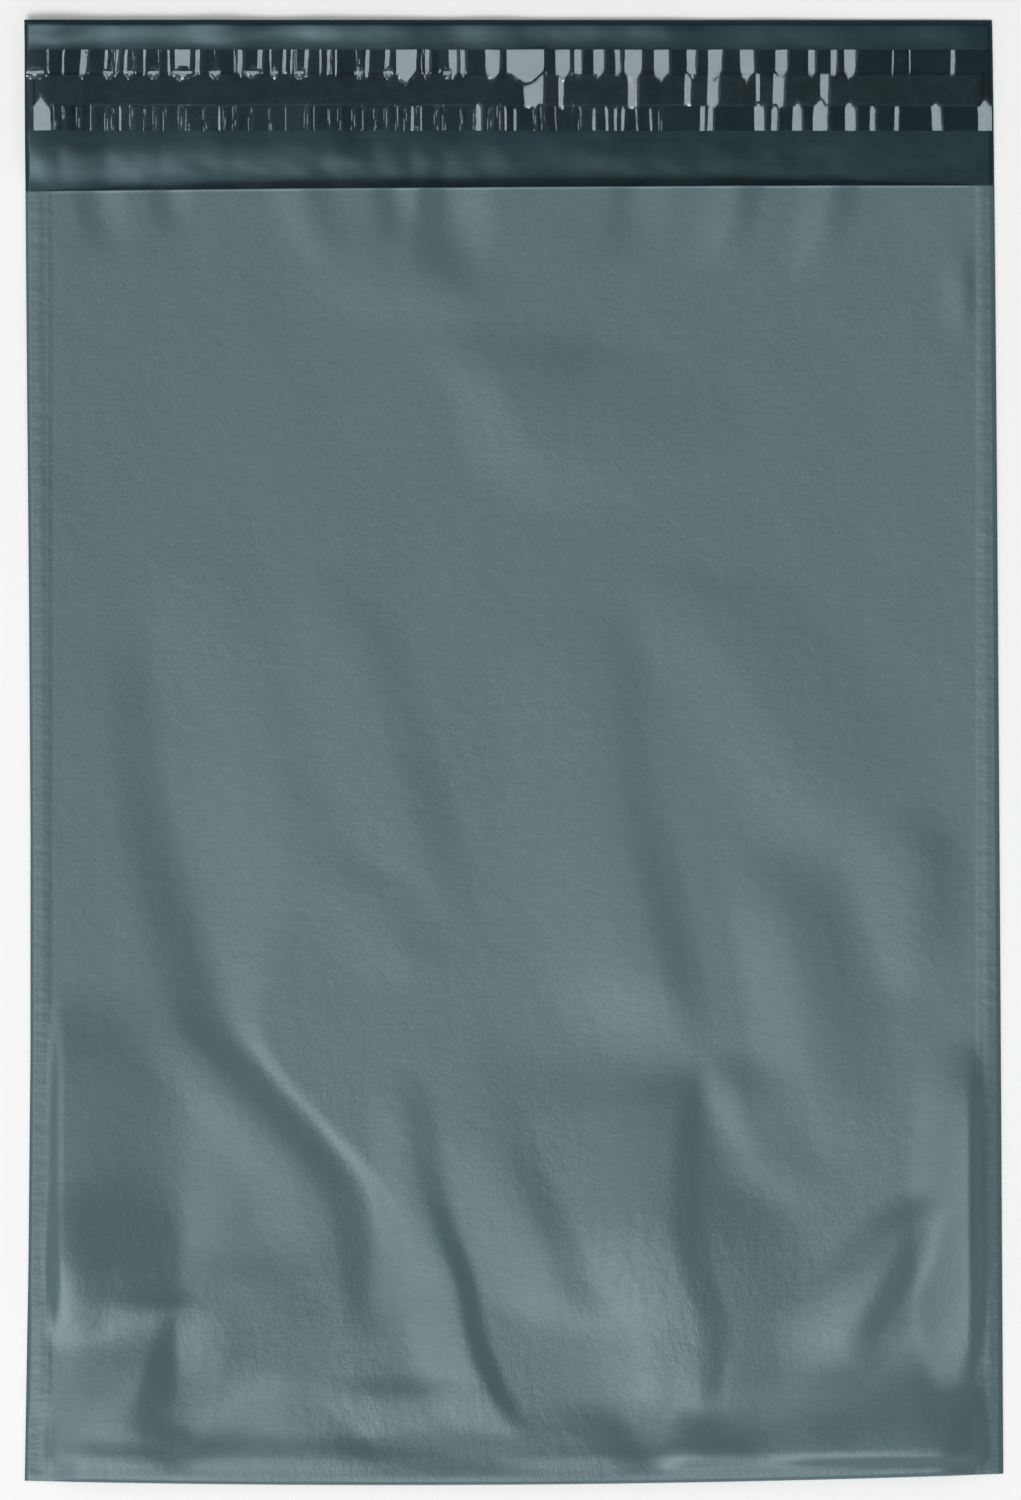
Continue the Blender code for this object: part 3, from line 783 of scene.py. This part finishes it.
def levelled_normal(look):
    """The surface normal with most of the pocket's broad swell taken out of it."""
    slope = look.tree.nodes.new("ShaderNodeAttribute")
    slope.attribute_name = "swell_slope"
    lean = look.vector("MULTIPLY", slope.outputs["Vector"], SWELL_LEVELLED)
    normal = look.tree.nodes.new("ShaderNodeNewGeometry").outputs["Normal"]
    return look.vector("NORMALIZE", look.vector("ADD", normal, lean))


def crinkle_share(look):
    """Share of the crinkles' full depth: in patches, low on the bag, less at its sides."""
    low = look.spread(look.axis("Y"), CRINKLE_START, CRINKLE_FULL, 0.0, 1.0)
    patches = look.spread(look.noise((30.0, 22.0, 20.0), detail=2.0), 0.42, 0.62, 0.15, 1.0)
    off = look.math("ABSOLUTE", look.math("SUBTRACT", look.axis("X"), CRINKLE_MIDDLE))
    sides = look.spread(off, *CRINKLE_FADE, 1.0, CRINKLE_SIDE_SHARE)
    return look.math("MULTIPLY", low, look.math("MULTIPLY", patches, sides))


def film_outside():
    """Blue-grey satin film: fine grain, faint streaks across the web, blotches and crinkles."""
    look = Nodes("film_outside")
    look.set(Metallic=0.0, IOR=1.5, Specular_IOR_Level=0.8, Specular_Tint=(0.90, 0.98, 1.0, 1.0))
    grain = look.noise((2200.0, 2600.0, 2200.0), detail=2.0)
    streaks = look.noise((18.0, 1500.0, 400.0), detail=3.0, roughness=0.6)
    blotches = look.noise((38.0, 26.0, 30.0), detail=4.0)
    tone = look.math("ADD", look.math("MULTIPLY", grain, 0.40),
                     look.math("MULTIPLY", streaks, 0.22))
    tone = look.math("ADD", tone, look.math("MULTIPLY", blotches, 0.38))
    colour = look.mix(look.spread(tone, 0.3, 0.7, 0.0, 1.0), *OUTER_TONES)
    look.link(colour, "Base Color")
    look.link(look.spread(blotches, 0.3, 0.7, 0.43, 0.50), "Roughness")
    crinkles = look.noise((430.0, 190.0, 300.0), detail=5.0, roughness=0.74, distortion=0.4)
    crinkles = look.math("MULTIPLY", crinkles, crinkle_share(look))
    mottle = look.noise((380.0, 420.0, 380.0), detail=5.0, roughness=0.66)
    slack = look.noise((46.0, 30.0, 30.0), detail=3.0, roughness=0.55)
    edge = look.spread(look.math("ABSOLUTE", look.axis("X")), *WELD_RIPPLE, 0.0, 1.0)
    ripple = look.math("MULTIPLY", look.noise((150.0, 420.0, 100.0), detail=2.0), edge)
    normal = look.bump(slack, SLACK_DEPTH, 0.5, levelled_normal(look))
    normal = look.bump(crinkles, CRINKLE_DEPTH, 0.6, normal)
    normal = look.bump(mottle, MOTTLE_DEPTH, 0.6, normal)
    normal = look.bump(ripple, RIPPLE_DEPTH, 0.6, normal)
    fine = look.math("ADD", grain, look.math("MULTIPLY", streaks, 0.4))
    look.link(look.bump(fine, GRAIN_DEPTH, 0.5, normal), "Normal")
    return look.material


def film_inside():
    """Near black glossy film with a blue-green cast."""
    look = Nodes("film_inside")
    look.set(Metallic=0.0, IOR=1.5, Specular_Tint=INNER_TINT)
    streaks = look.noise((30.0, 900.0, 400.0), detail=3.0, roughness=0.6)
    waves = look.noise((50.0, 74.0, 60.0), detail=2.0, roughness=0.4)
    ripples = look.noise((210.0, 60.0, 60.0), detail=2.0)
    colour = look.mix(look.spread(streaks, 0.3, 0.7, 0.0, 1.0), *INNER_TONES)
    look.link(colour, "Base Color")
    look.link(look.spread(waves, 0.3, 0.7, 0.33, 0.42), "Roughness")
    soft = look.bump(waves, WAVE_DEPTH, 0.5)
    soft = look.bump(ripples, INNER_RIPPLE_DEPTH, 0.5, soft)
    look.link(look.bump(streaks, INNER_STREAK_DEPTH, 0.4, soft), "Normal")
    return look.material


def adhesive_look():
    """Black tacky adhesive, blotchy where the liner touches it."""
    look = Nodes("adhesive")
    look.set(Metallic=0.0, IOR=1.5, Specular_Tint=INNER_TINT)
    blotches = look.noise((260.0, 330.0, 200.0), detail=3.0)
    colour = look.mix(look.spread(blotches, 0.4, 0.6, 0.0, 1.0), *ADHESIVE_TONES)
    look.link(colour, "Base Color")
    look.link(look.spread(blotches, 0.35, 0.65, 0.40, 0.55), "Roughness")
    look.link(look.bump(blotches, TACK_DEPTH, 0.6), "Normal")
    return look.material


def liner_look():
    """Clear glossy release film."""
    look = Nodes("liner")
    look.set(Metallic=0.0, IOR=1.5, Transmission_Weight=1.0)
    look.set(Base_Color=(0.90, 0.95, 0.96, 1.0), Specular_Tint=(0.82, 0.95, 1.0, 1.0))
    haze = look.noise((300.0, 120.0, 200.0), detail=2.0)
    look.link(look.spread(haze, 0.3, 0.7, 0.015, 0.035), "Roughness")
    look.link(look.bump(haze, HAZE_DEPTH, 0.3), "Normal")
    return look.material


def build_bag():
    """The folded web of film."""
    u = np.linspace(0.0, 1.0, WEB_COLUMNS + 1)
    rows, slopes = web_zones(u)
    bag = grid_object("mailer_film", rows)
    levelled = bag.data.attributes.new("swell_slope", "FLOAT_VECTOR", "POINT")
    levelled.data.foreach_set("vector", slopes.ravel())
    bag.data.materials.append(film_outside())
    bag.data.materials.append(film_inside())
    thicken(bag, FILM_THICKNESS, -1.0, inner_slot=1)
    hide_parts("mailer_bag")
    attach(bag, "root")


def band_row(u, down, inset):
    """X and Y of a row across the flap, down from its free edge and in from both cut edges."""
    y = -down + 0.0 * u
    left = left_edge(y) + inset
    right = right_edge(y) - inset
    return left + u * (right - left), y


def build_adhesive():
    """The strip of adhesive."""
    u = np.linspace(0.0, 1.0, ADHESIVE_COLUMNS + 1)
    rows = []
    for t in np.linspace(0.0, 1.0, ADHESIVE_ROWS + 1):
        x, y = band_row(u, ADHESIVE_TOP + (1.0 - t) * ADHESIVE_WIDTH, ADHESIVE_END_INSET)
        rows.append((x, y, flap_height(u, y) + FILM_THICKNESS + LAY_GAP))
    strip = grid_object("adhesive", rows)
    strip.data.materials.append(adhesive_look())
    thicken(strip, ADHESIVE_THICKNESS, 1.0)
    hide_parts("adhesive_strip")
    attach(strip, "root")


def pane_profile(panes, tilt, side, share):
    """Height of a row of panes, each rising to the right and falling off beyond its fold,
    and a tip that peaks in the middle of each pane, higher on a wide one, and is 0 elsewhere."""
    knots, heights, tips = [PANE_START], [0.0], [0.0]
    least, most = PANE_TIP_SHARES
    for start, end, lean in panes:
        start, end = (MILLIMETRE * (value + lean * share) for value in (start, end))
        start = max(start, knots[-1] + PANE_GAP)
        knots += [start, 0.5 * (start + end), end, end + PANE_FALL]
        heights += [0.0, 0.5 * tilt * (end - start), tilt * (end - start), 0.0]
        tips += [0.0, min(max((end - start) / PANE_TIP_WIDTH, least), most), 0.0, 0.0]
    return np.interp(side, knots, heights), np.interp(side, knots, tips)


def with_bulbs(pane, side, down):
    """The panes' height with the small tilted swellings along the adhesive's upper edge."""
    for centre, half in BULBS:
        off = (((side - MILLIMETRE * centre) / (MILLIMETRE * half)) ** 2
               + ((down - ADHESIVE_TOP) / BULB_LENGTH) ** 2)
        share = ease((1.0 - off) / BULB_EDGE)
        bulb = BULB_TILT * (side - MILLIMETRE * (centre - half))
        pane = (1.0 - share) * pane + share * bulb
    return pane


def streak_list(draws, gaps, last):
    """Places up to last, runs, tilts and leans of the narrow folds between the panes."""
    count = int(BAG_WIDTH / gaps[0])
    places = np.cumsum(draws.uniform(*gaps, count))
    runs = draws.uniform(*STREAK_RUNS, count)
    tilts = draws.uniform(*STREAK_TILTS, count)
    leans = draws.uniform(-STREAK_LEAN, STREAK_LEAN, count)
    return np.stack([places, runs, tilts, leans], axis=-1)[places < last]


def streak_height(streaks, side, share):
    """Height of the narrow folds, each leaning a little."""
    height = np.zeros_like(side)
    for place, run, tilt, lean in streaks:
        near = 1.0 - np.abs(side - place - lean * share) / run
        height = np.maximum(height, tilt * run * np.clip(near, 0.0, 1.0))
    return height


def pane_height(side, down, share, jags, streaks):
    """Height of the liner's folds over the flap, for one row."""
    (upper, upper_tip), (lower, lower_tip), (held, _) = (
        pane_profile(panes, tilt, side, share)
        for panes, tilt in ((UPPER_PANES, PANE_TILT), (LOWER_PANES, PANE_TILT),
                            (HELD_PANES, HELD_TILT)))
    upper, lower = (np.maximum(band, streak_height(folds, side, share))
                    for band, folds in zip((upper, lower), streaks))
    upper_end = ADHESIVE_TOP + PANE_TIP * upper_tip + PANE_JAG * (jags[0] - 0.5)
    lower_end = ADHESIVE_TOP + ADHESIVE_WIDTH - PANE_TIP * lower_tip + PANE_JAG * (jags[1] - 0.5)
    above = 1.0 - ease((down - upper_end) / PANE_MEET + 0.5)
    below = ease((down - lower_end) / PANE_MEET + 0.5)
    pane = above * upper + below * lower + (1.0 - above - below) * held
    return with_bulbs(pane, side, down)


def build_liner():
    """The clear liner, folded into flat panes where nothing holds it."""
    u = np.linspace(0.0, 1.0, LINER_COLUMNS + 1)
    draws = np.random.default_rng(STREAK_SEED)
    jag_places = np.linspace(0.0, 1.0, PANE_JAGS)
    jags = [np.interp(u, jag_places, draws.random(PANE_JAGS)) for _ in range(2)]
    streaks = [streak_list(draws, gaps, last) for gaps, last in zip(STREAK_GAPS, STREAK_ENDS)]
    rows = []
    for t in np.linspace(0.0, 1.0, LINER_ROWS + 1):
        down = LINER_TOP + (1.0 - t) * LINER_WIDTH
        x, y = band_row(u, down, LINER_END_INSET)
        base = flap_height(u, y) + FILM_THICKNESS + 2 * LAY_GAP + ADHESIVE_THICKNESS
        rows.append((x, y, base + pane_height(x - left_edge(y), down, 1.0 - t, jags, streaks)))
    liner = grid_object("release_film", rows)
    liner.data.shade_flat()
    liner.data.materials.append(liner_look())
    thicken(liner, LINER_THICKNESS, 1.0)
    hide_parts("release_liner")
    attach(liner, "root")


def build_floor():
    """A wide pale floor."""
    bpy.ops.mesh.primitive_plane_add(size=FLOOR_SIZE, location=(0.0, 0.0, -FLOOR_DROP))
    floor = bpy.context.object
    floor.name = "floor"
    look = Nodes("floor")
    look.set(Base_Color=(FLOOR_GREY, FLOOR_GREY, FLOOR_GREY, 1.0), Roughness=0.9)
    floor.data.materials.append(look.material)


def add_light(name, place, size, energy):
    """A rectangular softbox that faces the bag."""
    light = bpy.data.lights.new(name, "AREA")
    light.shape = "RECTANGLE"
    light.size, light.size_y = size
    light.energy = energy
    lamp = bpy.data.objects.new(name, light)
    lamp.location = place
    lamp.rotation_euler = (-Vector(place)).to_track_quat("-Z", "Y").to_euler()
    bpy.context.scene.collection.objects.link(lamp)


def build_lights():
    """Two softboxes and a surround that is pale low down and dim overhead."""
    add_light("key", *KEY_LIGHT)
    add_light("side", *SIDE_LIGHT)
    world = bpy.data.worlds.new("surround")
    bpy.context.scene.world = world
    world.use_nodes = True
    tree = world.node_tree
    background = tree.nodes["Background"]
    background.inputs["Color"].default_value = (1.0, 1.0, 1.0, 1.0)
    direction = tree.nodes.new("ShaderNodeTexCoord").outputs["Generated"]
    split = tree.nodes.new("ShaderNodeSeparateXYZ")
    tree.links.new(direction, split.inputs["Vector"])
    strength = tree.nodes.new("ShaderNodeMapRange")
    for name, number in zip(("From Min", "From Max", "To Min", "To Max"),
                            (*SURROUND_HEIGHTS, *SURROUND_LEVELS)):
        strength.inputs[name].default_value = number
    tree.links.new(split.outputs["Z"], strength.inputs["Value"])
    tree.links.new(strength.outputs["Result"], background.inputs["Strength"])


def build_camera():
    """A long lens looking straight down, framed as the photograph is."""
    lens = bpy.data.cameras.new("camera")
    lens.lens = LENS_MM
    lens.sensor_width = SENSOR_MM
    camera = bpy.data.objects.new("camera", lens)
    camera.location = (*CAMERA_OFFSET, FIELD_HEIGHT * LENS_MM / SENSOR_MM)
    bpy.context.scene.collection.objects.link(camera)
    bpy.context.scene.camera = camera


bpy.context.scene.view_settings.view_transform = "Standard"
build_camera()
build_lights()
build_floor()
build_bag()
build_adhesive()
build_liner()
